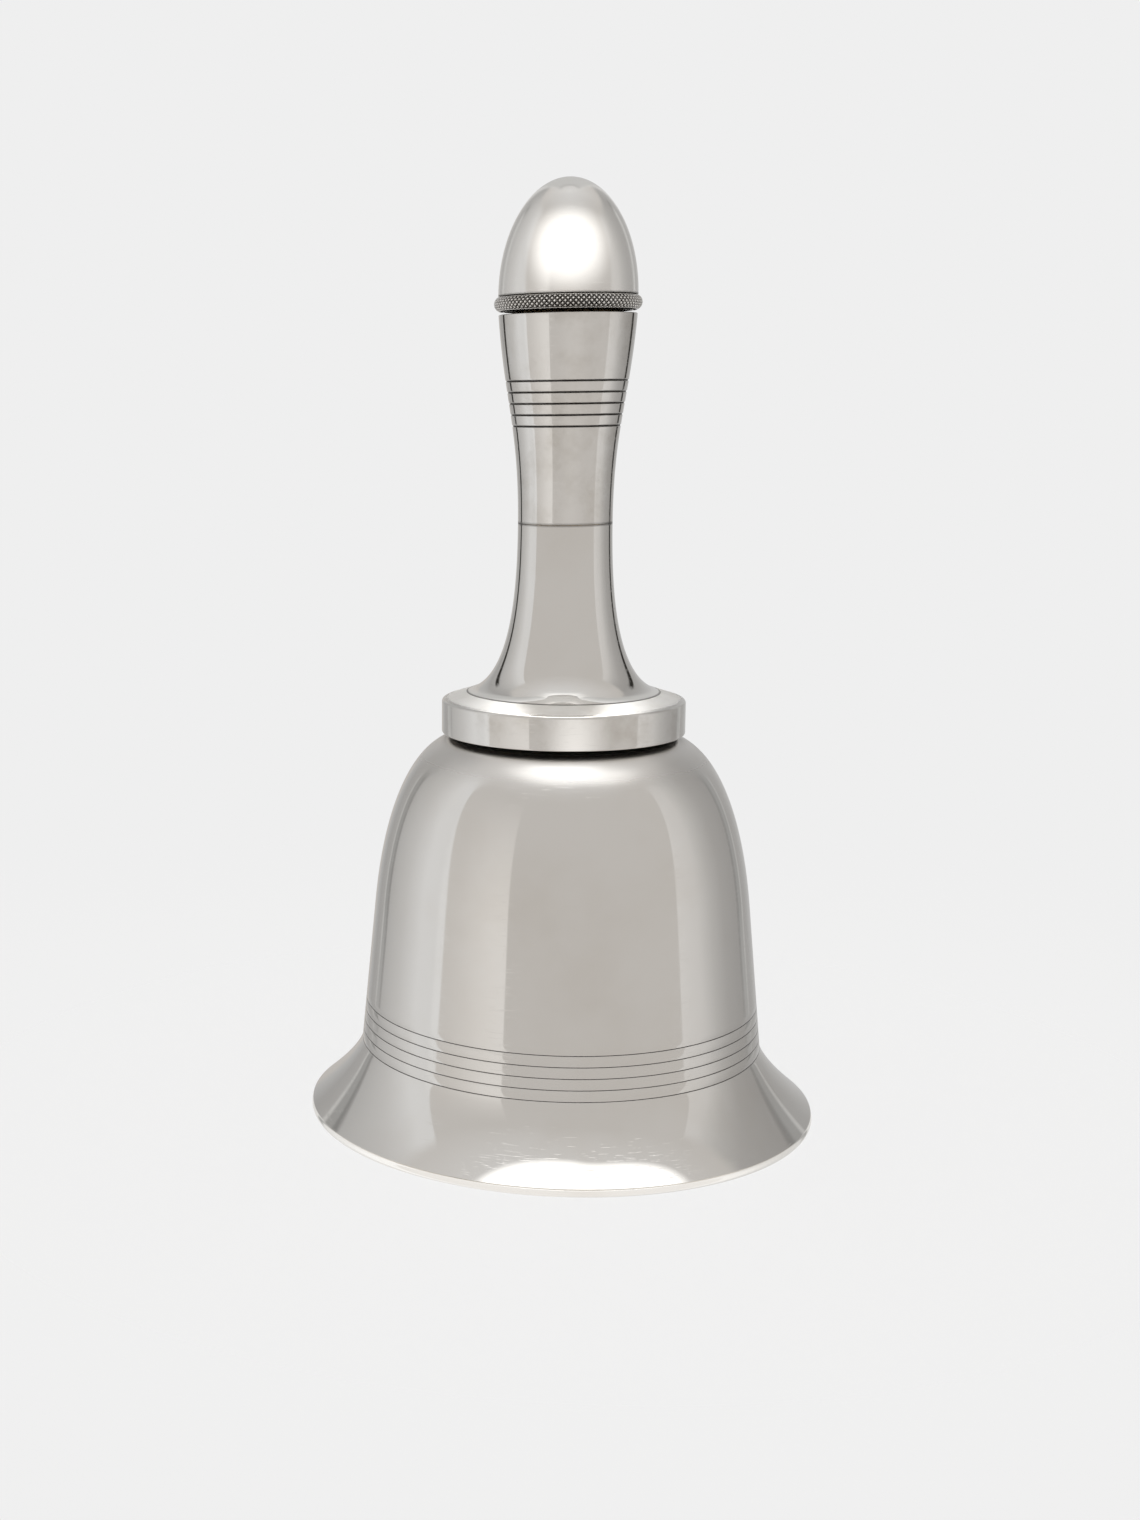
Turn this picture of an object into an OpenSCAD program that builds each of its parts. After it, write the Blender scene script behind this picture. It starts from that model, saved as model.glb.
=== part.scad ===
// Cocktail shaker in the form of a hand bell.
// The open mouth of the bell is the foot. The collar and handle unscrew from the neck as one lid,
// and the egg-shaped cap unscrews from the pouring spout at the top of the handle.
// The origin is the centre of the mouth in the plane that the rim stands on, +Z runs up the axis.

/* [Bell] */
// Outer radius of the rim, the widest part
rim_r = 72; // [66:0.5:80]
// Height of the round wire along the rim
rim_h = 2.4; // [1.8:0.1:3.2]
// Height where the flare turns into the straight side
waist_z = 20.7; // [18:0.1:24]
// Outer radius at that height
waist_r = 57; // [52:0.5:60]
// Height where the side turns into the shoulder
shoulder_z = 61.7; // [56:0.1:68]
// Inward lean of the side, as radius lost per unit of height
side_lean = 0.095; // [0.05:0.005:0.12]
// How sharply the flare opens towards the rim
flare_power = 1.56; // [1.3:0.02:2]
// Height of the shoulder at the neck
shoulder_top_z = 109.8; // [104:0.1:114]
// Thickness of the spun metal
wall = 1.4; // [1:0.1:2]
// Height of the base plate above the rim plane
base_z = 12; // [9:0.5:15]

/* [Neck and lid] */
// Outer radius of the neck tube
neck_r = 28.1; // [26:0.1:29]
// Height of the neck's top edge
neck_top_z = 117; // [115.5:0.1:118]
// Crest radius of the neck's thread
neck_crest_r = 29.6; // [29:0.1:30]
// Distance between the thread ridges on the neck
neck_pitch = 2; // [1.6:0.1:2.4]
// Outer radius of the collar
collar_r = 34.1; // [33:0.1:36]
// Height of the collar's bottom edge
collar_z = 110.7; // [110.2:0.1:111.5]
// Height where the collar's side meets its top
collar_edge_z = 120.2; // [119:0.1:121]

/* [Handle] */
// Radius of the trumpet's foot on the collar
foot_r = 27; // [25:0.1:29]
// Height of the trumpet's foot
foot_z = 122.3; // [121.8:0.1:123]
// Outer radius at the joint between trumpet and barrel
joint_r = 13.05; // [12:0.05:15]
// Height of that joint
joint_z = 169.6; // [160:0.1:175]
// Outer radius at the top of the barrel
barrel_r = 18.85; // [18:0.05:20]
// Height of the barrel's top
barrel_top_z = 226.4; // [222:0.1:230]

/* [Spout and cap] */
// Outer radius of the spout tube
spout_r = 14.6; // [13.5:0.1:15]
// Height of the spout's top edge
spout_top_z = 236.2; // [235:0.1:237]
// Crest radius of the spout's thread
spout_crest_r = 15.8; // [15.4:0.1:16]
// Distance between the thread ridges on the spout
spout_pitch = 2; // [1.6:0.1:2.4]
// Widest radius of the knurled ring
knurl_r = 20.1; // [19.6:0.1:21]
// Height of the knurled ring's bottom face
knurl_z = 227.1; // [226.8:0.1:228.2]
// Height of the knurled ring
knurl_h = 4.3; // [3:0.1:5]
// Outer radius of the cap at its edge
cap_r = 18.95; // [18.5:0.05:19.5]
// Height of the cap above the knurled ring
cap_h = 31.3; // [26:0.1:36]

/* [Trim] */
// Turned lines round the bell
bell_lines = 5; // [1:1:5]
// Distance between the lines round the bell
bell_line_gap = 3.08; // [2.5:0.01:3.3]
// Turned lines round the handle
handle_lines = 5; // [1:1:5]
// Height of the lowest line round the handle
handle_line_z = 196.27; // [190:0.01:200]
// Distance between the lines round the handle
handle_line_gap = 3.04; // [2.5:0.01:3.3]
// Radius of the tool that cuts a line
line_cut_r = 0.3; // [0.2:0.05:0.4]
// Radius of one hole in the strainer
strainer_hole_r = 1.5; // [1:0.1:1.8]
// Rings of holes round the strainer's middle hole
strainer_rings = 3; // [1:1:3]

/* [Hidden] */
$fn = 96;

silver = [0.80, 0.79, 0.77];
gilt = [0.83, 0.72, 0.46];
cork = [0.72, 0.53, 0.34];

// Clearance between pieces that are soldered or pressed together
seat_gap = 0.04;
// Clearance between a thread's crests and the bore they turn in
thread_gap = 0.12;
// Sheet thickness of the inner cups, discs and sleeves
sheet = 0.8;
// Gap between two pieces that meet face to face
face_gap = 0.02;
// Extra length of a cutter past the piece that it cuts
past = 5;

// Flare: the rim radius of the shell just above the wire, and the flare's share of it
shell_rim_r = rim_r - 0.3;
flare_h = waist_z - rim_h;
flare_reach = shell_rim_r - waist_r - side_lean * flare_h;
flare_steps = 18;

// Side and shoulder
shoulder_r = waist_r - side_lean * (shoulder_z - waist_z);
shoulder_rise = 27.1;
shoulder_reach = 14.1;
neck_hole_r = neck_r + seat_gap;
shoulder_steps = 22;

// Rim wire and base: the band's top edge touches the flare's sloping inside,
// so it is set in by more than the wall
rim_band = 4.4;
rim_lip = 0.8;
base_dish = 5;
base_seat = 8;
base_steps = 14;
band_wall = 0.9;
band_rise = 3;
base_edge_r = side_r(base_z + band_rise) - 1.28 * wall - band_wall;

// Collar, the parts inside it and the thread rings
neck_wall = 1.5;
neck_seat = 3;
thread_depth = 0.7;
groove_r = 0.6;
neck_thread_z = shoulder_top_z + 2.2;
collar_wall = 1.2;
collar_round = 1;
collar_chamfer = 0.5;
collar_bore_r = collar_r - collar_wall;
collar_plate_z = neck_top_z + 1.6;
lid_hole_r = 20;
strainer_r = 23.9;
strainer_pitch = 5.2;
strainer_ring_w = 3.5;
gasket_inner_r = 25.2;
gasket_outer_r = 29.4;
gasket_cup_h = 0.33;

// Handle
handle_wall = 1.2;
joint_bore_r = joint_r - handle_wall;
joint_gap = 0.1;
sleeve_h = 10;
trumpet_steps = 20;
barrel_steps = 20;
top_plate_h = 1.2;
top_plate_gap = 0.1;
spout_bore_r = spout_r - 1.4;
spout_flange_h = 1.3;
spout_thread_z = barrel_top_z + 3.2;

// Cap
cap_z = knurl_z + knurl_h;
cap_wall = 1.2;
cap_ring_bore_r = cap_r - cap_wall - 0.35;
cap_steps = 24;
cork_h = 4;
cork_r = 16.2;
cork_cup_z = spout_top_z + cork_h + 3 * face_gap;
cork_cup_r = dome_bore_r(cork_cup_z + sheet) - 0.1;

// Point at t along a curve with two handles
function curve(a, b, c, d, t) =
    pow(1 - t, 3) * a + 3 * pow(1 - t, 2) * t * b + 3 * (1 - t) * t * t * c + t * t * t * d;
function curve_points(a, b, c, d, steps) = [for (i = [0:steps]) curve(a, b, c, d, i / steps)];

// Outline moved to its left by w; an outline that runs upwards moves towards the axis
function step_of(p, i) = p[min(i + 1, len(p) - 1)] - p[max(i - 1, 0)];
function left_of(v) = [-v[1], v[0]] / norm(v);
function inset(p, w) = [for (i = [0:len(p) - 1]) p[i] + w * left_of(step_of(p, i))];
function turned_back(p) = [for (i = [len(p) - 1:-1:0]) p[i]];

function flare_r(z) = waist_r + side_lean * (waist_z - z)
    + flare_reach * pow((waist_z - z) / flare_h, flare_power);
function side_r(z) = z < waist_z ? flare_r(z) : waist_r - side_lean * (z - waist_z);

flare = [for (i = [0:flare_steps - 1]) let (z = rim_h + flare_h * i / flare_steps) [flare_r(z), z]];
shoulder = curve_points(
    [shoulder_r, shoulder_z],
    [shoulder_r - side_lean * shoulder_rise, shoulder_z + shoulder_rise],
    [neck_hole_r + shoulder_reach, shoulder_top_z],
    [neck_hole_r, shoulder_top_z],
    shoulder_steps);
bell_outline = concat(flare, [[waist_r, waist_z]], shoulder);

trumpet_outline = curve_points(
    [foot_r, foot_z], [foot_r - 11.3, foot_z + 3], [joint_r, joint_z - 23.5], [joint_r, joint_z],
    trumpet_steps);
barrel_outline = curve_points(
    [joint_r, joint_z], [joint_r, joint_z + 26.7], [barrel_r - 1.8, barrel_top_z - 23.9],
    [barrel_r, barrel_top_z], barrel_steps);

function dome_point(t) = [cap_r * cos(t), cap_z + cap_h * sin(t)];
function dome_bore_point(t) = [(cap_r - cap_wall) * cos(t), cap_z + (cap_h - cap_wall) * sin(t)];
function dome_bore_r(z) = (cap_r - cap_wall) * sqrt(1 - pow((z - cap_z) / (cap_h - cap_wall), 2));

// Radius of the barrel at height z, read between the outline's points
function barrel_outer_r(z) = lookup(z, [for (v = barrel_outline) [v[1], v[0]]]);
top_plate_r = barrel_outer_r(barrel_top_z - top_plate_h) - handle_wall - top_plate_gap;

module lathe(points) rotate_extrude() polygon(points);

module tube(outer, inner, z0, z1) translate([0, 0, z0]) difference() {
    cylinder(r = outer, h = z1 - z0);
    translate([0, 0, -1]) cylinder(r = inner, h = z1 - z0 + 2);
}

// Fine groove turned into a surface of radius r at height z
module turned_line(r, z) rotate_extrude() translate([r, z]) circle(r = line_cut_r, $fn = 24);

// Rounded thread ridge standing out of a surface of radius r at height z
module ridge(r, z, size) rotate_extrude() translate([r, z]) circle(r = size, $fn = 24);

// Plug used to trim a surface of revolution between two heights
module plug(r, z0, z1) translate([0, 0, z0]) cylinder(r = r, h = z1 - z0);

module bell_shell() color(silver) difference() {
    lathe(concat(bell_outline, turned_back(inset(bell_outline, wall))));
    for (i = [0:bell_lines - 1])
        let (z = waist_z + i * bell_line_gap) turned_line(side_r(z), z);
    // trims the shell's edge flat where it stands on the rim wire
    tube(rim_r + past, waist_r - past, rim_h - past, rim_h + face_gap);
    // trims the hole that the neck tube stands in
    plug(neck_hole_r, shoulder_top_z - 2 * past, shoulder_top_z + past);
}

// Half-round wire along the mouth with a flat underside that the bell stands on,
// and a lip that holds the shell's edge from inside
module rim_wire() color(silver) rotate_extrude() {
    translate([rim_r - rim_h / 2, rim_h / 2]) circle(r = rim_h / 2, $fn = 48);
    translate([rim_r - rim_band, 0]) square([rim_band - rim_h / 2, rim_h]);
    translate([rim_r - rim_band, 0]) square([rim_lip, rim_h + rim_lip]);
}

// Half section of the dished base plate's upper or lower face, from the axis to the flat seat
function base_curve(z) = curve_points([0, z + base_dish], [16, z + base_dish], [36, z + base_dish],
    [base_edge_r - base_seat, z], base_steps);

module base_plate() color(silver) lathe(concat(
    base_curve(base_z),
    [[base_edge_r, base_z], [base_edge_r, base_z + wall]],
    turned_back(base_curve(base_z + wall))));

// Upright band round the base plate's edge
module base_band() color(silver)
    tube(base_edge_r + band_wall, base_edge_r + seat_gap, base_z - 1, base_z + band_rise);

module neck_tube() color(gilt) tube(neck_r, neck_r - neck_wall, shoulder_top_z - neck_seat, neck_top_z);

module neck_thread_ring() color(gilt) difference() {
    union() {
        tube(neck_crest_r - thread_depth, neck_r + seat_gap, shoulder_top_z + 0.1, neck_top_z);
        for (z = [neck_thread_z:neck_pitch:neck_top_z - thread_depth])
            ridge(neck_crest_r - thread_depth, z, thread_depth);
    }
    plug(neck_r + seat_gap, shoulder_top_z - past, neck_top_z + past);
}

module neck_gasket() color(cork)
    tube(gasket_outer_r, gasket_inner_r, neck_top_z + face_gap, collar_plate_z - gasket_cup_h - face_gap);

// Band with a rounded top corner, closed above by a sloping plate with a hole for the handle
module lid_collar() color(silver) rotate_extrude() difference() {
    union() {
        translate([lid_hole_r, collar_z])
            square([collar_r - lid_hole_r, collar_edge_z - collar_round - collar_z]);
        translate([collar_r - collar_round, collar_edge_z - collar_round])
            circle(r = collar_round, $fn = 48);
        polygon([
            [lid_hole_r, collar_z + 1],
            [collar_r - collar_round, collar_z + 1],
            [collar_r - collar_round, collar_edge_z],
            [foot_r, foot_z - seat_gap],
            [lid_hole_r, foot_z - seat_gap]]);
    }
    translate([0, collar_z - 1]) square([collar_bore_r, collar_plate_z - collar_z + 1]);
    translate([0, collar_plate_z - 1]) square([strainer_r + seat_gap, 1 + 2 * sheet + 0.1]);
    // small chamfer along the bottom edge
    translate([collar_r, collar_z]) rotate(45) square(sqrt(2) * collar_chamfer, center = true);
}

module collar_thread_ring() color(gilt) difference() {
    tube(collar_bore_r - seat_gap, neck_crest_r + thread_gap,
        collar_z + sheet, collar_plate_z - groove_r);
    for (z = [neck_thread_z:neck_pitch:collar_plate_z - 2 * sheet])
        ridge(neck_crest_r + thread_gap, z, groove_r);
}

// Thin cup that holds the gasket up against the collar's plate
module gasket_cup() color(gilt)
    tube(collar_bore_r - seat_gap, gasket_inner_r - sheet,
        collar_plate_z - gasket_cup_h, collar_plate_z - face_gap);

module strainer_hole() cylinder(r = strainer_hole_r, h = 3 * sheet, $fn = 24);

module strainer_disc() color(gilt) difference() {
    plug(strainer_r, collar_plate_z + sheet + face_gap, collar_plate_z + 2 * sheet + face_gap);
    translate([0, 0, collar_plate_z]) {
        strainer_hole();
        for (ring = [1:strainer_rings])
            for (i = [0:6 * ring - 1])
                rotate(60 * i / ring) translate([ring * strainer_pitch, 0, 0]) strainer_hole();
    }
}

module strainer_ring() color(gilt)
    tube(strainer_r, strainer_r - strainer_ring_w, collar_plate_z + face_gap, collar_plate_z + sheet);

module handle_trumpet() color(silver) difference() {
    lathe(concat(trumpet_outline, turned_back(inset(trumpet_outline, handle_wall))));
    plug(foot_r + past, foot_z - past, foot_z);
    plug(joint_r + past, joint_z - joint_gap / 2, joint_z + past);
}

module handle_joint_sleeve() color(gilt)
    tube(joint_bore_r - seat_gap, joint_bore_r - seat_gap - sheet,
        joint_z - sleeve_h / 2, joint_z + sleeve_h / 2);

module handle_barrel() color(silver) difference() {
    lathe(concat(barrel_outline, turned_back(inset(barrel_outline, handle_wall))));
    for (i = [0:handle_lines - 1])
        let (z = handle_line_z + i * handle_line_gap) turned_line(barrel_outer_r(z), z);
    plug(joint_r + past, joint_z - past, joint_z + joint_gap / 2);
    plug(barrel_r + past, barrel_top_z - joint_gap / 2, barrel_top_z + past);
}

// Disc let into the top of the barrel, with the hole for the spout
module handle_top_plate() color(silver)
    tube(top_plate_r, spout_r + seat_gap, barrel_top_z - top_plate_h, barrel_top_z);

// Tube with a flange inside the barrel and rounded thread ridges at its top
module pour_spout() color(gilt) difference() {
    union() {
        plug(spout_r, barrel_top_z - top_plate_h - spout_flange_h, spout_top_z);
        plug(top_plate_r - groove_r, barrel_top_z - top_plate_h - spout_flange_h,
            barrel_top_z - top_plate_h - face_gap);
        plug(spout_crest_r - thread_depth, barrel_top_z + 0.1, spout_top_z);
        for (z = [spout_thread_z:spout_pitch:spout_top_z - thread_depth])
            ridge(spout_crest_r - thread_depth, z, thread_depth);
    }
    plug(spout_bore_r, barrel_top_z - 2 * past, spout_top_z + past);
}

module cap_cork() color(cork)
    plug(cork_r, spout_top_z + face_gap, spout_top_z + face_gap + cork_h);

module cap_dome() color(silver) lathe(concat(
    [for (i = [0:cap_steps]) dome_point(90 * i / cap_steps)],
    [for (i = [cap_steps:-1:0]) dome_bore_point(90 * i / cap_steps)]));

// Ring with a half-round grip; the fine cross-cuts of the knurling are too small to be solids here
module knurled_ring() color(silver) difference() {
    rotate_extrude() {
        translate([cap_ring_bore_r, knurl_z])
            square([knurl_r - knurl_h / 2 - cap_ring_bore_r, knurl_h - face_gap]);
        intersection() {
            translate([knurl_r - knurl_h / 2, knurl_z + knurl_h / 2]) circle(r = knurl_h / 2, $fn = 48);
            translate([cap_ring_bore_r, knurl_z]) square([knurl_h + past, knurl_h - face_gap]);
        }
    }
    plug(cap_ring_bore_r, knurl_z - past, knurl_z + knurl_h + past);
}

module cap_thread_ring() color(gilt) difference() {
    tube(cap_ring_bore_r - seat_gap, spout_crest_r + thread_gap, knurl_z + sheet / 2, spout_top_z - 0.2);
    for (z = [spout_thread_z:spout_pitch:spout_top_z - thread_depth])
        ridge(spout_crest_r + thread_gap, z, groove_r);
}

// Disc soldered across the dome that the cork bears on
module cork_cup() color(gilt) plug(cork_cup_r, cork_cup_z, cork_cup_z + sheet);

bell_shell();
rim_wire();
base_plate();
base_band();
neck_tube();
neck_thread_ring();
neck_gasket();
lid_collar();
collar_thread_ring();
gasket_cup();
strainer_disc();
strainer_ring();
handle_trumpet();
handle_joint_sleeve();
handle_barrel();
handle_top_plate();
pour_spout();
cap_cork();
cap_dome();
knurled_ring();
cap_thread_ring();
cork_cup();
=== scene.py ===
"""Looks for the hand bell cocktail shaker: turned silver-plated pieces, cork seals, studio and camera."""
import math

import bpy
import numpy as np
from mathutils import Matrix, Vector


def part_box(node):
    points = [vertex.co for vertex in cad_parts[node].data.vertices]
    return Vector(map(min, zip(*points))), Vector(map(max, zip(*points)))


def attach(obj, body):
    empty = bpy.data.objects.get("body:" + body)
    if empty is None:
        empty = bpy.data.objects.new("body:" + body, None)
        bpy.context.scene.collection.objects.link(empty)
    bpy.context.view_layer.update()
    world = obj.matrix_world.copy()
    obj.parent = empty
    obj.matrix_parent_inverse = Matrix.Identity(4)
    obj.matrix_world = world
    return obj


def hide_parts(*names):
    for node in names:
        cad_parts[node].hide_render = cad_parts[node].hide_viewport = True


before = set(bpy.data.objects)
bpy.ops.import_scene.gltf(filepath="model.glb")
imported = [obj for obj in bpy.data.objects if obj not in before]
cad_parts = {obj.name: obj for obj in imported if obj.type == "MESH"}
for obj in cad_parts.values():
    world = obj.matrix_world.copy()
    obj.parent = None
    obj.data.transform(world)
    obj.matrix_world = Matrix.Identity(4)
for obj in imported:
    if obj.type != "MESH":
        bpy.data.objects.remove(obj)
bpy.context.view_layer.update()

MM = 0.001
TURN = 2 * math.pi
SEGMENTS = 256

# Gap between pieces that meet face to face, and between pieces that are soldered or pressed together
FACE_GAP = 0.02 * MM
SEAT_GAP = 0.04 * MM


# ---------------------------------------------------------------- sizes read from the frame

def top_of(node):
    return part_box(node)[1].z


def bottom_of(node):
    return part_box(node)[0].z


def radius_of(node):
    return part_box(node)[1].x


RIM_R = radius_of("rim_wire")
RIM_H = bottom_of("bell_shell") - FACE_GAP
RIM_LIP_Z = top_of("rim_wire")
SHELL_TOP = top_of("bell_shell")
NECK_R = radius_of("neck_tube")
NECK_TOP = top_of("neck_tube")
NECK_CREST_R = radius_of("neck_thread_ring")
COLLAR_R = radius_of("lid_collar")
COLLAR_Z = bottom_of("lid_collar")
FOOT_R = radius_of("handle_trumpet")
FOOT_Z = bottom_of("handle_trumpet")
JOINT_Z = (top_of("handle_trumpet") + bottom_of("handle_barrel")) / 2
BARREL_R = radius_of("handle_barrel")
BARREL_TOP = top_of("handle_barrel")
KNURL_R = radius_of("knurled_ring")
KNURL_Z = bottom_of("knurled_ring")
CAP_R = radius_of("cap_dome")
CAP_Z = bottom_of("cap_dome")
CAP_TOP = top_of("cap_dome")

# Shape of the bell's outline
WAIST_R = 57.0 * MM
WAIST_Z = 20.7 * MM
SIDE_LEAN = 0.095
SIDE_TOP_Z = 61.7 * MM
FLARE_POWER = 1.56
SHELL_RIM_R = RIM_R - 0.3 * MM
SHELL_WALL = 1.4 * MM
SHOULDER_RISE = 27.1 * MM
SHOULDER_REACH = 14.1 * MM
RIM_BAND = 4.4 * MM
RIM_LIP = 0.8 * MM
BELL_LINES = [WAIST_Z + i * 3.08 * MM for i in range(5)]

# Shape of the handle's outline
JOINT_R = 13.05 * MM
HANDLE_WALL = 1.2 * MM
HANDLE_STEPS = 120
HALF_JOINT_GAP = 0.05 * MM
HANDLE_LINES = [(196.27 + 3.04 * i) * MM for i in range(5)]

# Turned lines are V-shaped cuts, finer on the bell than on the handle: half width and depth
BELL_CUT = (0.13 * MM, 0.12 * MM)
HANDLE_CUT = (0.30 * MM, 0.26 * MM)


# ---------------------------------------------------------------- outlines

def curve(a, b, c, d, steps):
    """Points along a curve with two handles, as (radius, height) rows."""
    a, b, c, d = (np.array(p, float) for p in (a, b, c, d))
    t = np.linspace(0, 1, steps + 1)[:, None]
    return (1 - t) ** 3 * a + 3 * (1 - t) ** 2 * t * b + 3 * (1 - t) * t * t * c + t ** 3 * d


def arc(centre, radius, start, end, steps):
    """Points along an arc in the (radius, height) plane, angles in degrees."""
    a = np.radians(np.linspace(start, end, steps + 1))
    return np.stack([centre[0] + radius * np.cos(a), centre[1] + radius * np.sin(a)], 1)


def inset(outline, wall):
    """The outline moved to its left by wall; one that runs upwards moves towards the axis."""
    step = np.gradient(outline, axis=0)
    left = np.stack([-step[:, 1], step[:, 0]], 1)
    return outline + wall * left / np.linalg.norm(left, axis=1)[:, None]


def stack(*pieces):
    return np.vstack([np.atleast_2d(np.array(p, float)) for p in pieces])


def with_lines(outline, heights, cut):
    """Cuts V-shaped turned lines into an outline that runs upwards, and marks their bottoms for dirt and
    painted shade.
    """
    half, depth = cut
    near = [min(abs(z - mid) for mid in heights) > 1.5 * half for z in outline[:, 1]]
    rows = [(r, z, 0.0) for (r, z), keep in zip(outline, near) if keep]
    profile = ((-1.25, 0, 0), (-1, 0.12, 0.3), (-0.3, 1, 1), (0.3, 1, 1), (1, 0.12, 0.3), (1.25, 0, 0))
    for mid in heights:
        for offset, share, dirt_and_shade in profile:
            z = mid + offset * half
            r = float(np.interp(z, outline[:, 1], outline[:, 0]))
            rows.append((r - share * depth, z, dirt_and_shade))
    rows = np.array(sorted(rows, key=lambda row: row[1]))
    return rows[:, :2], rows[:, 2]


def side_r(z):
    """Outer radius of the bell's side and flare at height z."""
    z = np.asarray(z, float)
    flare_h = WAIST_Z - RIM_H
    reach = SHELL_RIM_R - WAIST_R - SIDE_LEAN * flare_h
    low = np.clip((WAIST_Z - z) / flare_h, 0, None)
    return WAIST_R + SIDE_LEAN * (WAIST_Z - z) + reach * low ** FLARE_POWER


# ---------------------------------------------------------------- mesh building

def finish_mesh(name, verts, faces, dirt_and_shade, sharp=28):
    """Object of a mesh with smooth shading, except along edges that bend more than sharp degrees."""
    mesh = bpy.data.meshes.new(name)
    mesh.from_pydata([tuple(v) for v in verts], [], faces)
    mesh.validate()
    mesh.update()
    mesh.shade_smooth()
    mesh.set_sharp_from_angle(angle=math.radians(sharp))
    # per-vertex amount of painted shade, with some dirt in the cuts, by which the materials darken
    layer = mesh.attributes.new("dirt_and_shade", "FLOAT", "POINT")
    layer.data.foreach_set("value", np.asarray(dirt_and_shade, np.float32))
    piece = bpy.data.objects.new(name, mesh)
    bpy.context.scene.collection.objects.link(piece)
    return piece


def lathe(name, outline, dirt_and_shade):
    """Turns a closed outline of (radius, height) rows about Z. A row on the axis becomes one vertex."""
    angles = np.arange(SEGMENTS) * TURN / SEGMENTS
    verts, marks, rings = [], [], []
    for (r, z), g in zip(outline, dirt_and_shade):
        if r < 1e-7:
            rings.append([len(verts)] * SEGMENTS)
            verts.append((0, 0, z))
            marks.append(g)
            continue
        rings.append(list(range(len(verts), len(verts) + SEGMENTS)))
        verts += [(r * math.cos(a), r * math.sin(a), z) for a in angles]
        marks += [g] * SEGMENTS
    faces = []
    count = len(rings)
    for i in range(count):
        lower, upper = rings[i], rings[(i + 1) % count]
        for k in range(SEGMENTS):
            n = (k + 1) % SEGMENTS
            corners = [lower[k], lower[n], upper[n], upper[k]]
            corners = [c for j, c in enumerate(corners) if c not in corners[:j]]
            if len(corners) > 2:
                faces.append(corners)
    return finish_mesh(name, verts, faces, marks)


def wrapped(name, radius_at, dirt_and_shade_at, heights, inner_r, segments, sharp=40):
    """A ring whose outer radius and amount of painted shade, with some dirt, depend on height and angle,
    closed by a plain bore.
    """
    angles = np.arange(segments) * TURN / segments
    z_grid, a_grid = np.meshgrid(heights, angles, indexing="ij")
    r_grid = radius_at(z_grid, a_grid)
    g_grid = dirt_and_shade_at(z_grid, a_grid)
    outer = np.stack([r_grid * np.cos(a_grid), r_grid * np.sin(a_grid), z_grid], -1)
    rings = [outer[i] for i in range(len(heights))]
    marks = [g_grid[i] for i in range(len(heights))]
    for z in (heights[-1], heights[0]):
        rings.append(np.stack([inner_r * np.cos(angles), inner_r * np.sin(angles), 0 * angles + z], -1))
        marks.append(0 * angles)
    verts = np.concatenate(rings)
    count = len(rings)
    faces = []
    for i in range(count):
        j = (i + 1) % count
        for k in range(segments):
            n = (k + 1) % segments
            faces.append([i * segments + k, i * segments + n, j * segments + n, j * segments + k])
    return finish_mesh(name, verts, faces, np.concatenate(marks), sharp)


# ---------------------------------------------------------------- materials

class Nodes:
    """A short way to write a node tree: each call adds a node and returns its output."""

    def __init__(self, tree):
        self.tree = tree
        tree.nodes.clear()

    def add(self, kind, inputs=None, out=0, **settings):
        node = self.tree.nodes.new(kind)
        for key, value in settings.items():
            setattr(node, key, value)
        for key, value in (inputs or {}).items():
            socket = node.inputs[key]
            if isinstance(value, bpy.types.NodeSocket):
                self.tree.links.new(value, socket)
            else:
                socket.default_value = value
        return node.outputs[out] if len(node.outputs) else node

    def math(self, operation, a, b=0.0, c=0.0):
        return self.add("ShaderNodeMath", {0: a, 1: b, 2: c}, operation=operation)

    def remap(self, value, low, high, to_low=0.0, to_high=1.0, smooth=True):
        kind = "SMOOTHSTEP" if smooth else "LINEAR"
        inputs = {"Value": value, "From Min": low, "From Max": high, "To Min": to_low, "To Max": to_high}
        return self.add("ShaderNodeMapRange", inputs, interpolation_type=kind)

    def noise(self, vector, scale, detail=3.0, roughness=0.5):
        inputs = {"Vector": vector, "Scale": scale, "Detail": detail, "Roughness": roughness}
        return self.add("ShaderNodeTexNoise", inputs)

    def scaled(self, vector, scale):
        return self.add("ShaderNodeMapping", {"Vector": vector, "Scale": scale})

    def mix(self, factor, a, b):
        """Colour between a and b."""
        return self.add("ShaderNodeMix", {0: factor, 6: a, 7: b}, out=2, data_type="RGBA")

    def xyz(self, vector):
        """The three parts of a vector."""
        return self.add("ShaderNodeSeparateXYZ", {0: vector}).node.outputs


def window(n, value, low, high, soft_low, soft_high):
    """1 between low and high, falling to 0 over each soft width."""
    rise = n.remap(value, low - soft_low, low + soft_low)
    fall = n.remap(value, high - soft_high, high + soft_high, 1.0, 0.0)
    return n.math("MULTIPLY", rise, fall)


def new_material(name):
    material = bpy.data.materials.new(name)
    material.use_nodes = True
    return material, Nodes(material.node_tree)


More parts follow.
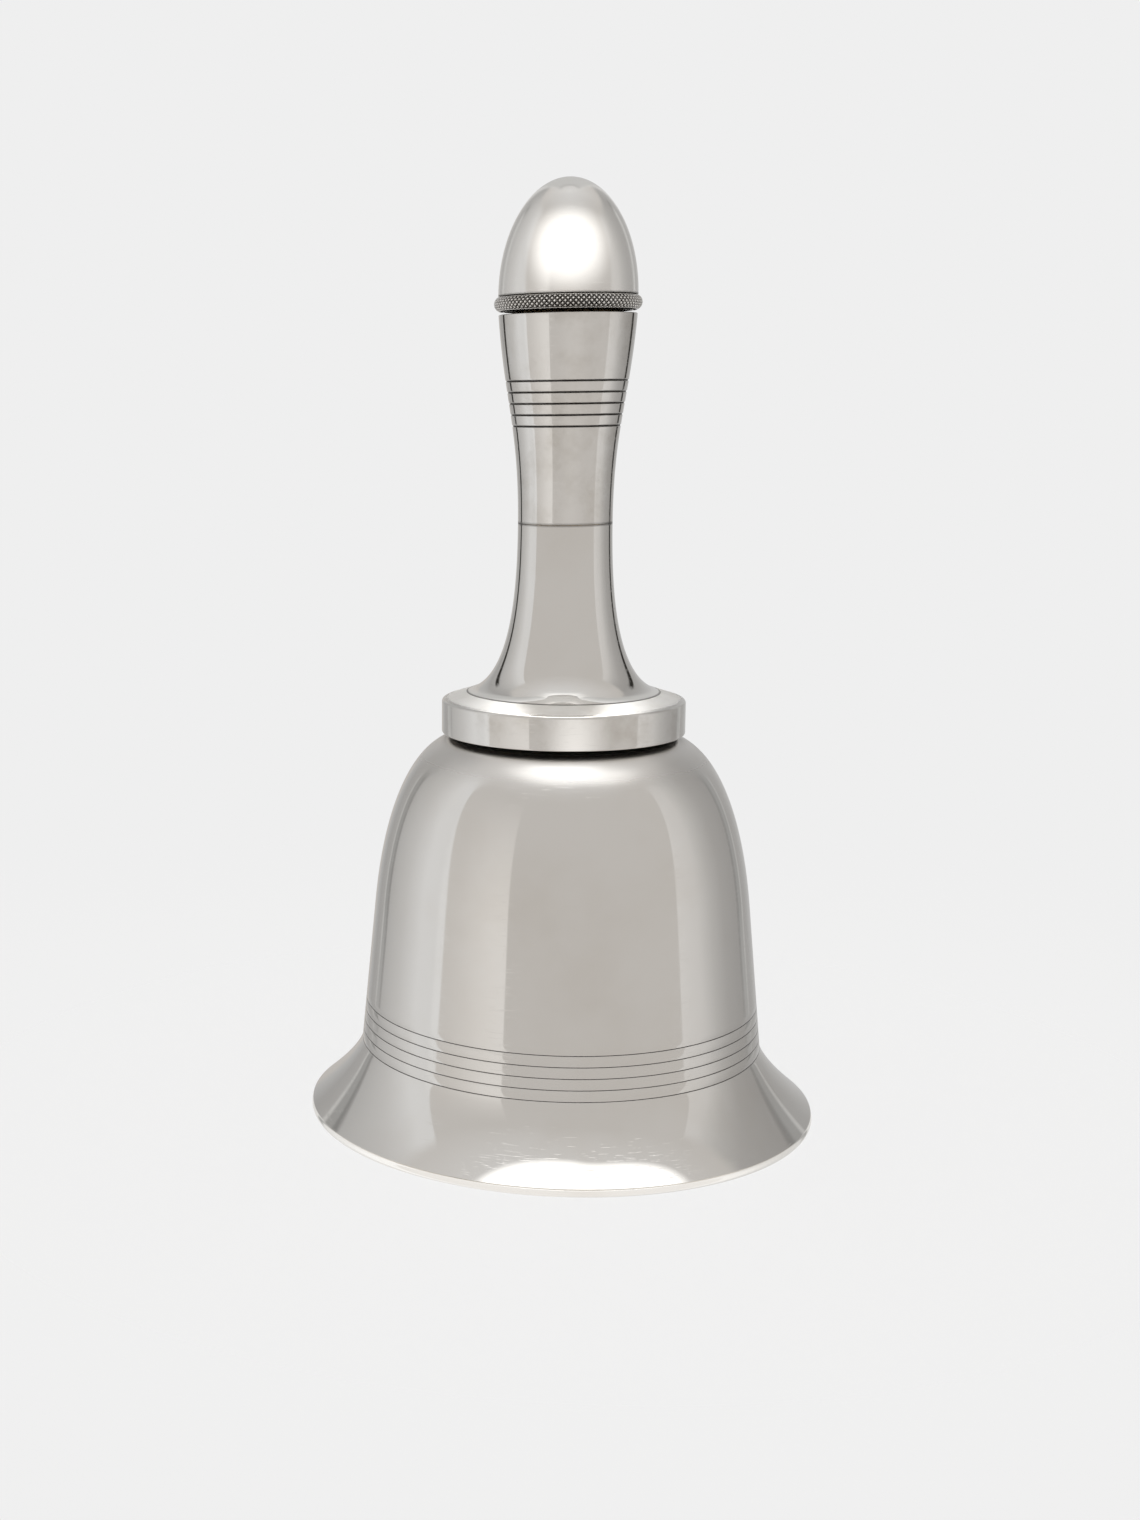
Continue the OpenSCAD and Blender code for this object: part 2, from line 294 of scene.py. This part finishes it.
def metal(name, colour, tarnish, dark, roughness, haze, scratch, patch_scale=28.0, shade_bands=(), satin=()):
    """Polished plate: faint tarnish clouds, hazy patches, hairline scratches, and painted shade with some
    dirt where the vertex marks are set.

    The bands are height ranges, just inside a joint, that get painted shade and rougher metal for the
    dark gap there. satin is a height range over which the polish turns soft, and how much roughness that
    adds.
    """
    material, n = new_material(name)
    place = n.add("ShaderNodeTexCoord", out=3)
    dirt_and_shade = n.add("ShaderNodeAttribute", attribute_name="dirt_and_shade", out=2)
    level = n.xyz(place)[2]
    soft = 0.2 * MM
    # painted shade in the bands just inside the joints' gaps
    for low, high in shade_bands:
        dirt_and_shade = n.math("MAXIMUM", dirt_and_shade, window(n, level, low, high, soft, soft))

    clouds = n.noise(place, patch_scale, 4.0, 0.6)
    patches = n.remap(n.noise(place, patch_scale * 2.3, 5.0, 0.65), 0.45, 0.75)
    tone = n.mix(n.remap(clouds, 0.4, 0.8, 0.0, 0.55), (*colour, 1), (*tarnish, 1))
    # painted shade, with some dirt in the cuts: the colour darkens towards the dark colour where marked
    tone = n.mix(n.math("MULTIPLY", dirt_and_shade, 0.97), tone, (*dark, 1))

    # hairlines run round the piece, as a polishing cloth leaves them, with a few stray ones across
    round_lines = n.noise(n.scaled(place, (180.0, 180.0, 5200.0)), 1.0, 2.0, 0.6)
    cross_lines = n.noise(n.scaled(place, (2600.0, 2600.0, 120.0)), 1.0, 2.0, 0.6)
    hair = n.remap(round_lines, 0.62, 0.78)
    stray = n.remap(cross_lines, 0.66, 0.80)
    marks = n.math("MAXIMUM", hair, n.math("MULTIPLY", stray, 0.6))

    rough = n.math("MULTIPLY_ADD", patches, haze, roughness)
    rough = n.math("MULTIPLY_ADD", marks, haze * 0.8, rough)
    rough = n.math("MULTIPLY_ADD", dirt_and_shade, 0.35, rough)
    if satin:
        low, high, amount = satin
        rough = n.math("MULTIPLY_ADD", n.remap(level, low, high), amount, rough)
    dents = n.noise(place, 16.0, 1.0, 0.4)
    height = n.math("MULTIPLY_ADD", marks, scratch, n.math("MULTIPLY", dents, 0.9))
    bump = n.add("ShaderNodeBump", {"Strength": 0.35, "Distance": 0.00006, "Height": height})
    shader = n.add("ShaderNodeBsdfPrincipled", {
        "Base Color": tone, "Metallic": 1.0, "Roughness": rough, "Normal": bump})
    n.add("ShaderNodeOutputMaterial", {"Surface": shader})
    return material


def cork_material():
    material, n = new_material("cork")
    place = n.add("ShaderNodeTexCoord", out=3)
    grains = n.add("ShaderNodeTexVoronoi", {"Vector": place, "Scale": 620.0}, out=1)
    spread = n.add("ShaderNodeSeparateColor", {0: grains})
    edges = n.add("ShaderNodeTexVoronoi", {"Vector": place, "Scale": 620.0}, feature="DISTANCE_TO_EDGE")
    pits = n.remap(n.noise(place, 1500.0, 3.0, 0.6), 0.62, 0.72)
    tone = n.mix(spread, (0.36, 0.20, 0.10, 1), (0.62, 0.42, 0.24, 1))
    tone = n.mix(n.remap(edges, 0.0, 0.06, 0.7, 0.0), tone, (0.20, 0.10, 0.05, 1))
    tone = n.mix(n.math("MULTIPLY", pits, 0.8), tone, (0.10, 0.05, 0.03, 1))
    height = n.math("SUBTRACT", n.remap(edges, 0.0, 0.08), pits)
    bump = n.add("ShaderNodeBump", {"Strength": 0.7, "Distance": 0.00025, "Height": height})
    rough = n.remap(spread, 0.0, 1.0, 0.75, 0.92)
    shader = n.add("ShaderNodeBsdfPrincipled", {"Base Color": tone, "Roughness": rough, "Normal": bump})
    n.add("ShaderNodeOutputMaterial", {"Surface": shader})
    return material


# Colours of the plate: clean, tarnished, and the dark colour of painted shade, with some dirt, in cuts,
# crevices and gaps
PLATE = ((0.935, 0.925, 0.905), (0.84, 0.81, 0.765), (0.030, 0.025, 0.020))
INNER_PLATE = ((0.90, 0.87, 0.82), (0.62, 0.55, 0.46), (0.03, 0.025, 0.02))
WORN_PLATE = ((0.94, 0.93, 0.91), (0.70, 0.665, 0.61), (0.020, 0.016, 0.013))
CAP_PLATE = ((0.935, 0.925, 0.905), (0.86, 0.83, 0.785), (0.030, 0.025, 0.020))
GILDING = ((0.86, 0.68, 0.36), (0.48, 0.33, 0.16), (0.020, 0.012, 0.007))

# Height ranges: painted shade and rougher metal in the two joints' gaps, and the softer polish on the
# bell's shoulder and on the collar's sloping top
JOINT_SHADE_BANDS = ((SHELL_TOP - 1 * MM, COLLAR_Z + 2 * MM), (BARREL_TOP - 1 * MM, KNURL_Z + 1 * MM))
SHOULDER_SATIN = (98 * MM, 105 * MM, 0.26)
COLLAR_SATIN = (FOOT_Z - 2.3 * MM, FOOT_Z - 1.6 * MM, 0.34)

SILVER = metal("silver_plate", *PLATE, roughness=0.03, haze=0.045, scratch=0.5)
SILVER_INNER = metal("silver_plate_inside", *INNER_PLATE, roughness=0.16, haze=0.14, scratch=1.0)
GILT = metal("gilt_brass", *GILDING, roughness=0.14, haze=0.12, scratch=0.8, shade_bands=JOINT_SHADE_BANDS)
SILVER_BELL = metal("silver_plate_bell", *PLATE, roughness=0.03, haze=0.045, scratch=0.5,
                    satin=SHOULDER_SATIN)
SILVER_WORN = metal("silver_plate_worn", *WORN_PLATE, roughness=0.035, haze=0.06, scratch=0.6,
                    patch_scale=95.0)
SILVER_COLLAR = metal("silver_plate_collar", *WORN_PLATE, roughness=0.035, haze=0.06, scratch=0.6,
                      patch_scale=95.0, satin=COLLAR_SATIN)
SILVER_CAP = metal("silver_plate_cap", *CAP_PLATE, roughness=0.14, haze=0.05, scratch=0.4)
CORK = cork_material()


def place_piece(piece, body, material, node):
    """Paints a piece, ties it to its body, and hides the CAD node it takes the place of."""
    piece.data.materials.append(material)
    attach(piece, body)
    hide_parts(node)
    return piece


# ---------------------------------------------------------------- the bell

def bell_outline():
    flare_z = np.linspace(RIM_H + FACE_GAP, WAIST_Z, 40)[:-1]
    flare = np.stack([side_r(flare_z), flare_z], 1)
    side_z = np.linspace(WAIST_Z, SIDE_TOP_Z, 24)[:-1]
    side = np.stack([side_r(side_z), side_z], 1)
    top_r = float(side_r(SIDE_TOP_Z))
    hole_r = NECK_R + SEAT_GAP
    shoulder = curve(
        (top_r, SIDE_TOP_Z), (top_r - SIDE_LEAN * SHOULDER_RISE, SIDE_TOP_Z + SHOULDER_RISE),
        (hole_r + SHOULDER_REACH, SHELL_TOP), (hole_r, SHELL_TOP), 50)
    return stack(flare, side, shoulder)


def build_bell():
    plain = bell_outline()
    rising = plain[:, 1] <= SHELL_TOP - 0.2 * MM
    cut, marks = with_lines(plain[rising], BELL_LINES, BELL_CUT)
    outer = stack(cut, plain[~rising])
    marks = np.concatenate([marks, np.zeros(np.count_nonzero(~rising))])
    # painted shade and rougher metal on the shoulder under the collar
    marks[outer[:, 0] < COLLAR_R - 2.2 * MM] = 0.85
    inner = inset(plain, SHELL_WALL)[::-1]
    inner = inner[inner[:, 1] > RIM_H + 0.03 * MM]
    # the inside a little darker: painted shade
    marks = np.concatenate([marks, np.full(len(inner), 0.1)])
    shell = lathe("bell_shell_turned", stack(outer, inner), marks)
    return place_piece(shell, "vessel", SILVER_BELL, "bell_shell")


def build_rim_wire():
    r = RIM_H / 2
    inner_r = RIM_R - RIM_BAND
    corner = 0.35 * MM
    outline = stack(
        arc((inner_r + corner, corner), corner, 180, 270, 6),
        arc((RIM_R - r, r), r, -90, 90, 24),
        (inner_r + RIM_LIP, RIM_H), (inner_r + RIM_LIP, RIM_LIP_Z), (inner_r, RIM_LIP_Z))
    marks = np.zeros(len(outline))
    # painted shade on the top of the half-round and the ledge that the shell stands on
    marks[29:33] = 0.75
    wire = lathe("rim_wire_turned", outline, marks)
    return place_piece(wire, "vessel", SILVER, "rim_wire")


SHELL = build_bell()
RIM = build_rim_wire()


# ---------------------------------------------------------------- the collar and handle

def build_collar():
    low_z = bottom_of("lid_collar")
    high_z = top_of("lid_collar")
    edge_z = FOOT_Z - 2.1 * MM
    soft = 0.9 * MM
    hole_r = 20 * MM
    bore_r = COLLAR_R - 1.2 * MM
    recess_r = radius_of("strainer_disc") + SEAT_GAP
    plate_z = top_of("gasket_cup") + FACE_GAP
    recess_z = top_of("strainer_disc") + 2 * SEAT_GAP
    bore_corner = 0.25 * MM
    low_corner = 0.45 * MM
    slope = math.degrees(math.atan2(high_z - edge_z, COLLAR_R - FOOT_R - soft))
    outline = stack(
        arc((bore_r + bore_corner, low_z + bore_corner), bore_corner, 180, 270, 5),
        arc((COLLAR_R - low_corner, low_z + low_corner), low_corner, -90, 0, 8),
        arc((COLLAR_R - soft, edge_z - soft), soft, 0, 90 - slope, 12),
        (FOOT_R + 0.3 * MM, high_z - 0.09 * MM), (FOOT_R, high_z),
        (hole_r, high_z), (hole_r, recess_z),
        (recess_r, recess_z), (recess_r, plate_z), (bore_r, plate_z))
    marks = np.zeros(len(outline))
    # painted shade at the joint with the handle's foot
    marks[-6] = 0.95
    collar = lathe("lid_collar_turned", outline, marks)
    return place_piece(collar, "lid", SILVER_COLLAR, "lid_collar")


def build_trumpet():
    high = JOINT_Z - HALF_JOINT_GAP
    foot_handle = (FOOT_R - 11.3 * MM, FOOT_Z + 3 * MM)
    joint_handle = (JOINT_R, JOINT_Z - 23.5 * MM)
    outer = curve((FOOT_R, FOOT_Z), foot_handle, joint_handle, (JOINT_R, high), HANDLE_STEPS)
    bore = inset(outer, HANDLE_WALL)
    end_r = float(np.interp(FOOT_Z, bore[:, 1], bore[:, 0]))
    inner = bore[::-1]
    inner = inner[inner[:, 1] > FOOT_Z]
    # painted shade at the foot and at the joint, and a little inside
    marks = np.concatenate([[0.95, 0.45], np.zeros(len(outer) - 3), [0.7], np.full(len(inner) + 1, 0.15)])
    trumpet = lathe("handle_trumpet_turned", stack(outer, inner, (end_r, FOOT_Z)), marks)
    return place_piece(trumpet, "lid", SILVER, "handle_trumpet")


def build_barrel():
    low = JOINT_Z + HALF_JOINT_GAP
    corner = 0.25 * MM
    joint_handle = (JOINT_R, JOINT_Z + 26.7 * MM)
    top_handle = (BARREL_R - 1.8 * MM, BARREL_TOP - 23.9 * MM)
    plain = curve((JOINT_R, low), joint_handle, top_handle, (BARREL_R, BARREL_TOP - corner), HANDLE_STEPS)
    cut, marks = with_lines(plain, HANDLE_LINES, HANDLE_CUT)
    lip = arc((BARREL_R - corner, BARREL_TOP - corner), corner, 0, 90, 6)[1:]
    inner = inset(plain, HANDLE_WALL)[::-1]
    outline = stack(cut, lip, (inner[0, 0], BARREL_TOP), inner)
    # painted shade at the joint and under the knurled ring, and a little inside
    marks[0] = 0.6
    extra = np.full(len(outline) - len(marks), 0.15)
    extra[3:len(lip) + 1] = 0.9
    barrel = lathe("handle_barrel_turned", outline, np.concatenate([marks, extra]))
    return place_piece(barrel, "lid", SILVER_WORN, "handle_barrel")


COLLAR = build_collar()
TRUMPET = build_trumpet()
BARREL = build_barrel()


# ---------------------------------------------------------------- the cap

def build_dome():
    a = np.radians(np.linspace(0, 90, 97))
    wall = 1.2 * MM
    outer = np.stack([CAP_R * np.cos(a), CAP_Z + (CAP_TOP - CAP_Z) * np.sin(a)], 1)
    inner = np.stack([(CAP_R - wall) * np.cos(a), CAP_Z + (CAP_TOP - CAP_Z - wall) * np.sin(a)], 1)[::-1]
    outer[-1, 0] = inner[0, 0] = 0.0
    marks = np.zeros(len(outer) + len(inner))
    # painted shade at the base of the dome, where it sits in the knurled ring
    marks[0] = 0.7
    # each row on the axis is a vertex of its own, so no face joins the outside to the inside there
    dome = lathe("cap_dome_turned", stack(outer, inner), marks)
    return place_piece(dome, "cap", SILVER_CAP, "cap_dome")


KNURLS = 88
KNURL_DEPTH = 0.42 * MM
STEPS_PER_KNURL = 12
# The knurled part of the ring's height
KNURL_BAND = (0.06, 0.90)


def build_knurled_ring():
    """Half-round ring with two families of crossing cuts, and a smooth bead along its upper edge."""
    high = top_of("knurled_ring")
    half = (high - KNURL_Z) / 2
    middle = (high + KNURL_Z) / 2
    pitch = TURN * KNURL_R / KNURLS
    bore_r = CAP_R - 1.55 * MM
    turns = np.linspace(-88, 88, 61)
    heights = middle + half * np.sin(np.radians(turns))

    def body_r(z):
        return KNURL_R - half + np.sqrt(np.clip(half ** 2 - (z - middle) ** 2, 0, None))

    def cut_depth(z, a):
        """1 at the bottom of a cut and 0 on top of a diamond."""
        girth = np.arcsin(np.clip((z - middle) / half, -1, 1)) * half
        u = a * KNURLS / TURN
        v = girth / pitch
        away = np.minimum(*[1 - np.abs(2 * (p % 1.0) - 1) for p in (u + v, u - v)])
        valley = np.clip((0.66 - away) / 0.46, 0, 1)
        share = (z - KNURL_Z) / (high - KNURL_Z)
        fade_in = np.clip((share - KNURL_BAND[0]) / 0.06, 0, 1)
        fade_out = np.clip((KNURL_BAND[1] - share) / 0.04, 0, 1)
        return valley * fade_in * fade_out

    # painted shade on the ring's underside, over the gap
    def underside(z):
        return 0.95 * np.clip((KNURL_Z + 0.35 * MM - z) / (0.3 * MM), 0, 1)

    def radius_at(z, a):
        return body_r(z) - KNURL_DEPTH * cut_depth(z, a)

    # painted shade, with some dirt, in the knurl's valleys, and painted shade on the underside
    def dirt_and_shade_at(z, a):
        return np.maximum(cut_depth(z, a) ** 0.8, underside(z))

    ring = wrapped("knurled_ring_cut", radius_at, dirt_and_shade_at, heights, bore_r,
                   KNURLS * STEPS_PER_KNURL, sharp=60)
    return place_piece(ring, "cap", SILVER_WORN, "knurled_ring")


DOME = build_dome()
RING = build_knurled_ring()


# ---------------------------------------------------------------- thread on the neck

THREAD_PITCH = 2 * MM
THREAD_STARTS = 2
THREAD_DEPTH = 0.7 * MM


def build_neck_thread():
    """Rounded thread with two starts that fades out at both ends."""
    low = bottom_of("neck_thread_ring")
    heights = np.linspace(low, NECK_TOP, 90)

    def radius_at(z, a):
        phase = (z - low) / THREAD_PITCH - THREAD_STARTS * a / TURN
        ridge = 0.5 + 0.5 * np.cos(TURN * phase)
        fade = np.clip((z - low) / (1.2 * MM), 0, 1) * np.clip((NECK_TOP - z) / (0.8 * MM), 0, 1)
        return NECK_CREST_R - THREAD_DEPTH + THREAD_DEPTH * ridge ** 0.7 * fade

    # painted shade in the thread's valleys, in the dark gap under the collar
    def dirt_and_shade_at(z, a):
        return 0.8 * np.clip((NECK_CREST_R - radius_at(z, a)) / THREAD_DEPTH - 0.35, 0, 1)

    ring = wrapped("neck_thread_cut", radius_at, dirt_and_shade_at, heights, NECK_R + SEAT_GAP, 288)
    return place_piece(ring, "vessel", GILT, "neck_thread_ring")


build_neck_thread()


# ---------------------------------------------------------------- pieces that keep their own solids

KEPT = {
    SILVER_INNER: ["base_plate", "base_band", "handle_top_plate"],
    GILT: ["neck_tube", "collar_thread_ring", "gasket_cup", "strainer_disc", "strainer_ring",
           "handle_joint_sleeve", "pour_spout", "cap_thread_ring", "cork_cup"],
    CORK: ["neck_gasket", "cap_cork"],
}
for material, names in KEPT.items():
    for name in names:
        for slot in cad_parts[name].material_slots:
            slot.material = material


# ---------------------------------------------------------------- studio

PALE = (0.8632, 0.8632, 0.8632, 1)


def sky_angles(n, direction):
    """Azimuth and height in degrees. Azimuth 0 is where the camera stands, + is at its right."""
    x, y, z = n.xyz(n.add("ShaderNodeVectorMath", {0: direction}, operation="NORMALIZE"))
    azimuth = n.math("DEGREES", n.math("ARCTAN2", x, n.math("MULTIPLY", y, -1.0)))
    return azimuth, n.math("DEGREES", n.math("ARCSINE", z))


def ramp(n, value, low, high, stops):
    """Colour along value: stops are (value, grey, warmth) rows between low and high."""
    node = n.tree.nodes.new("ShaderNodeValToRGB")
    n.tree.links.new(n.remap(value, low, high, smooth=False), node.inputs[0])
    while len(node.color_ramp.elements) < len(stops):
        node.color_ramp.elements.new(0.5)
    for element, (at, grey, warmth) in zip(node.color_ramp.elements, stops):
        element.position = (at - low) / (high - low)
        element.color = (grey * (1 + warmth), grey, grey * (1 - warmth), 1)
    return node.outputs[0]


def cloth(n, azimuth, height):
    """Black cloth behind the object: starts further round the lower it hangs."""
    behind = n.math("MULTIPLY_ADD", height, 0.55, n.math("ABSOLUTE", azimuth))
    return n.math("MULTIPLY", n.remap(behind, 172, 180), n.remap(height, 68, 74, 1.0, 0.0))


def streaks(n, azimuth, height):
    """Dark gaps between the side panels and the cloth."""
    left = window(n, azimuth, -138, -131, 1.5, 2.0)
    right = window(n, azimuth, 134, 142, 2.5, 1.5)
    return n.math("MULTIPLY", n.math("MAXIMUM", left, right), window(n, height, -14, 32, 4.0, 4.0))


def build_world():
    """A warm grey room with a tall light panel on each side and black cloth behind the object."""
    world = bpy.data.worlds.new("studio")
    bpy.context.scene.world = world
    world.use_nodes = True
    n = Nodes(world.node_tree)
    azimuth, height = sky_angles(n, n.add("ShaderNodeTexCoord", out=0))
    rise = n.math("MAXIMUM", height, 0.0)

    colour = ramp(n, height, -20, 90, (
        (-20, 0.495, 0.05), (48, 0.505, 0.045), (72, 0.62, 0.02), (90, 0.68, 0.01)))

    left = ramp(n, azimuth, -160, -70, (
        (-158, 0.45, 0.01), (-148, 0.36, 0.02), (-130, 0.42, 0.02), (-110, 0.52, 0.02),
        (-92, 0.66, 0.01), (-75, 0.655, 0.01)))
    edge = n.math("MULTIPLY_ADD", rise, 0.2, azimuth)
    tall = n.math("MULTIPLY", window(n, edge, -160, -73, 3.0, 1.0), n.remap(height, 48, 54, 1.0, 0.0))
    colour = n.mix(tall, colour, left)

    right = ramp(n, azimuth, 70, 170, (
        (74, 0.62, 0.03), (90, 0.56, 0.03), (102, 0.44, 0.03), (114, 0.36, 0.03), (130, 0.32, 0.03),
        (150, 0.37, 0.02), (168, 0.50, 0.01)))
    edge = n.math("MULTIPLY_ADD", rise, -0.18, azimuth)
    side = n.math("MULTIPLY", n.remap(edge, 73.4, 74.6), n.remap(height, 42, 47, 1.0, 0.0))
    colour = n.mix(side, colour, right)

    colour = n.mix(cloth(n, azimuth, height), colour, (0.012, 0.011, 0.010, 1))
    colour = n.mix(streaks(n, azimuth, height), colour, (0.03, 0.028, 0.025, 1))

    colour = n.mix(n.add("ShaderNodeLightPath", out=0), colour, PALE)
    light = n.add("ShaderNodeBackground", {"Color": colour, "Strength": 1.0})
    n.add("ShaderNodeOutputWorld", {"Surface": light})


def glow_dome(name, radius, strength_at, pieces):
    """Soft light on a large clear dome, shining only on the named pieces."""
    rings, segments = 24, 48
    middle_z = 0.12
    verts = []
    for i in range(rings + 1):
        tilt = math.pi * (i / rings - 0.5)
        verts += [(radius * math.cos(tilt) * math.cos(TURN * k / segments),
                   radius * math.cos(tilt) * math.sin(TURN * k / segments),
                   radius * math.sin(tilt) + middle_z) for k in range(segments)]
    faces = [[i * segments + k, i * segments + (k + 1) % segments,
              (i + 1) * segments + (k + 1) % segments, (i + 1) * segments + k]
             for i in range(rings) for k in range(segments)]
    mesh = bpy.data.meshes.new(name)
    mesh.from_pydata(verts, [], faces)
    mesh.shade_smooth()
    dome = bpy.data.objects.new(name, mesh)
    bpy.context.scene.collection.objects.link(dome)
    material, n = new_material(name)
    azimuth, height = sky_angles(n, n.add("ShaderNodeTexCoord", out=3))
    strength = strength_at(n, azimuth, height)
    light = n.add("ShaderNodeEmission", {"Color": (1.0, 0.995, 0.98, 1), "Strength": strength})
    clear = n.add("ShaderNodeBsdfTransparent")
    n.add("ShaderNodeOutputMaterial", {"Surface": n.add("ShaderNodeAddShader", {0: light, 1: clear})})
    mesh.materials.append(material)
    dome.visible_camera = False
    dome.visible_shadow = False
    receivers = bpy.data.collections.new(name + "_receivers")
    for piece in pieces:
        receivers.objects.link(piece)
    dome.light_linking.receiver_collection = receivers


def fill_glow(behind, gaps, sides=0.0):
    """Fills in the black cloth, the dark gaps and the dim side panels, each by its own strength."""
    def strength_at(n, azimuth, height):
        around = n.remap(n.math("ABSOLUTE", azimuth), 80, 122, 0.0, sides)
        lit = n.math("MULTIPLY_ADD", cloth(n, azimuth, height), behind, around)
        return n.math("MULTIPLY_ADD", streaks(n, azimuth, height), gaps, lit)
    return strength_at


def even_glow(strength):
    """The same from all sides, as the pale floor lights the low rim."""
    return lambda n, azimuth, height: strength


def near_glow(n, azimuth, height):
    """Panel at the left of the camera, dimmer towards its top."""
    across = n.math("MULTIPLY", window(n, azimuth, -78, -31, 2.0, 0.7),
                    n.remap(azimuth, -74, -34, 0.3, 1.25))
    return n.math("MULTIPLY", across, n.remap(height, 0, 45, 0.15, 0.0, smooth=False))


def crown_glow(strength):
    """White patch overhead and a little behind the object."""
    def strength_at(n, azimuth, height):
        lift, turn = n.math("RADIANS", height), n.math("RADIANS", azimuth)
        level = n.math("COSINE", lift)
        ahead = n.math("MULTIPLY", level, n.math("COSINE", turn))
        aside = n.math("ABSOLUTE", n.math("MULTIPLY", level, n.math("SINE", turn)))
        over = n.math("DEGREES", n.math("ARCTAN2", n.math("SINE", lift), ahead))
        return n.math("MULTIPLY", window(n, over, 88, 145, 5.0, 12.0),
                      n.remap(aside, 0.03, 0.3, strength, 0.0))
    return strength_at


def ceiling_glow(n, azimuth, height):
    """White above about 67 degrees on the camera's side, reaching lower on the right."""
    drop = n.math("MULTIPLY", n.remap(azimuth, 20, 95), 11.0)
    ahead = n.remap(n.math("ABSOLUTE", azimuth), 80, 120, 1.0, 0.0)
    return n.math("MULTIPLY", ahead, n.remap(n.math("ADD", height, drop), 66.5, 69.5, 0.0, 0.75))


def front_glow(n, azimuth, height):
    """Broad soft spot above the camera."""
    across = n.math("DIVIDE", azimuth, 95.0)
    along = n.math("DIVIDE", n.math("SUBTRACT", height, 37.0), 36.0)
    squares = n.math("MULTIPLY_ADD", across, across, n.math("MULTIPLY", along, along))
    return n.remap(n.math("SQRT", squares), 0.40, 1.04, 0.8, 0.0)


def strip_glow(strength):
    """Upright soft strip a little to the right of the camera."""
    def strength_at(n, azimuth, height):
        return n.math("MULTIPLY", window(n, azimuth, -6, 30, 16.0, 18.0),
                      n.remap(height, -30, 40, strength, 0.0))
    return strength_at


def total(glows):
    """Sum of several glows."""
    def strength_at(n, azimuth, height):
        value = glows[0](n, azimuth, height)
        for glow in glows[1:]:
            value = n.math("ADD", value, glow(n, azimuth, height))
        return value
    return strength_at


def build_floor():
    """Pale floor that fades into the background, clear from below so that the underside shows."""
    segments, radius = 96, 0.5
    ring = [(radius * math.cos(TURN * i / segments), radius * math.sin(TURN * i / segments), 0.0)
            for i in range(segments)]
    mesh = bpy.data.meshes.new("floor")
    mesh.from_pydata(ring, [], [list(range(segments))])
    floor = bpy.data.objects.new("floor", mesh)
    bpy.context.scene.collection.objects.link(floor)
    material, n = new_material("floor")
    place = n.add("ShaderNodeTexCoord", out=3)
    length = n.add("ShaderNodeVectorMath", {0: place}, operation="LENGTH", out=1)
    paint = n.add("ShaderNodeBsdfDiffuse", {"Color": PALE})
    lit = n.add("ShaderNodeEmission", {"Color": PALE, "Strength": 1.092})
    surface = n.add("ShaderNodeMixShader", {0: 0.88, 1: paint, 2: lit})
    clear = n.add("ShaderNodeBsdfTransparent")
    below = n.add("ShaderNodeNewGeometry", out=6)
    edge = n.math("MAXIMUM", n.remap(length, 0.08, 0.40), below)
    faded = n.add("ShaderNodeMixShader", {0: edge, 1: surface, 2: clear})
    n.add("ShaderNodeOutputMaterial", {"Surface": faded})
    mesh.materials.append(material)
    floor.visible_glossy = False
    floor.visible_diffuse = False


build_world()
# Name, radius, pieces and glows of each light. The radii differ, because equal domes hide each other.
DOMES = (
    ("bell_light", 4.0, [SHELL], [ceiling_glow, crown_glow(1.3), near_glow, fill_glow(0.0, 0.3)]),
    ("rim_light", 5.0, [RIM], [ceiling_glow, even_glow(0.37)]),
    ("collar_light", 4.2, [COLLAR], [crown_glow(3.4), near_glow, strip_glow(0.42), fill_glow(0.3, 0.4)]),
    ("trumpet_light", 4.4, [TRUMPET], [crown_glow(0.5), fill_glow(0.5, 0.0)]),
    ("barrel_light", 4.6, [BARREL], [near_glow, strip_glow(0.06), fill_glow(0.5, 0.0)]),
    ("cap_light", 4.8, [DOME, RING], [front_glow, near_glow, fill_glow(0.5, 0.5, 0.05)]),
)
for name, radius, pieces, glows in DOMES:
    glow_dome(name, radius, total(glows), pieces)
build_floor()


# ---------------------------------------------------------------- camera

CAMERA_BACK = 573.5 * MM
CAMERA_HEIGHT = 206.4 * MM
CAMERA_YAW = -8.359
CAMERA_PITCH = 10.2815
CAMERA_ROLL = -0.7665
LENS = 48.02
SHIFT_X = 0.198


def build_camera():
    yaw, pitch, roll = (math.radians(a) for a in (CAMERA_YAW, CAMERA_PITCH, CAMERA_ROLL))
    level = math.cos(pitch)
    forward = Vector((math.sin(yaw) * level, math.cos(yaw) * level, -math.sin(pitch)))
    level_right = Vector((math.cos(yaw), -math.sin(yaw), 0))
    level_up = level_right.cross(forward)
    right = level_right * math.cos(roll) + level_up * math.sin(roll)
    up = level_up * math.cos(roll) - level_right * math.sin(roll)
    data = bpy.data.cameras.new("camera")
    data.lens = LENS
    data.sensor_width = 36
    data.sensor_fit = "AUTO"
    data.shift_x = SHIFT_X
    data.dof.use_dof = False
    data.clip_start = 0.01
    camera = bpy.data.objects.new("camera", data)
    bpy.context.scene.collection.objects.link(camera)
    axes = Matrix((right, up, -forward)).transposed().to_4x4()
    camera.matrix_world = Matrix.Translation((0, -CAMERA_BACK, CAMERA_HEIGHT)) @ axes
    bpy.context.scene.camera = camera


build_camera()
bpy.context.scene.view_settings.view_transform = "Standard"
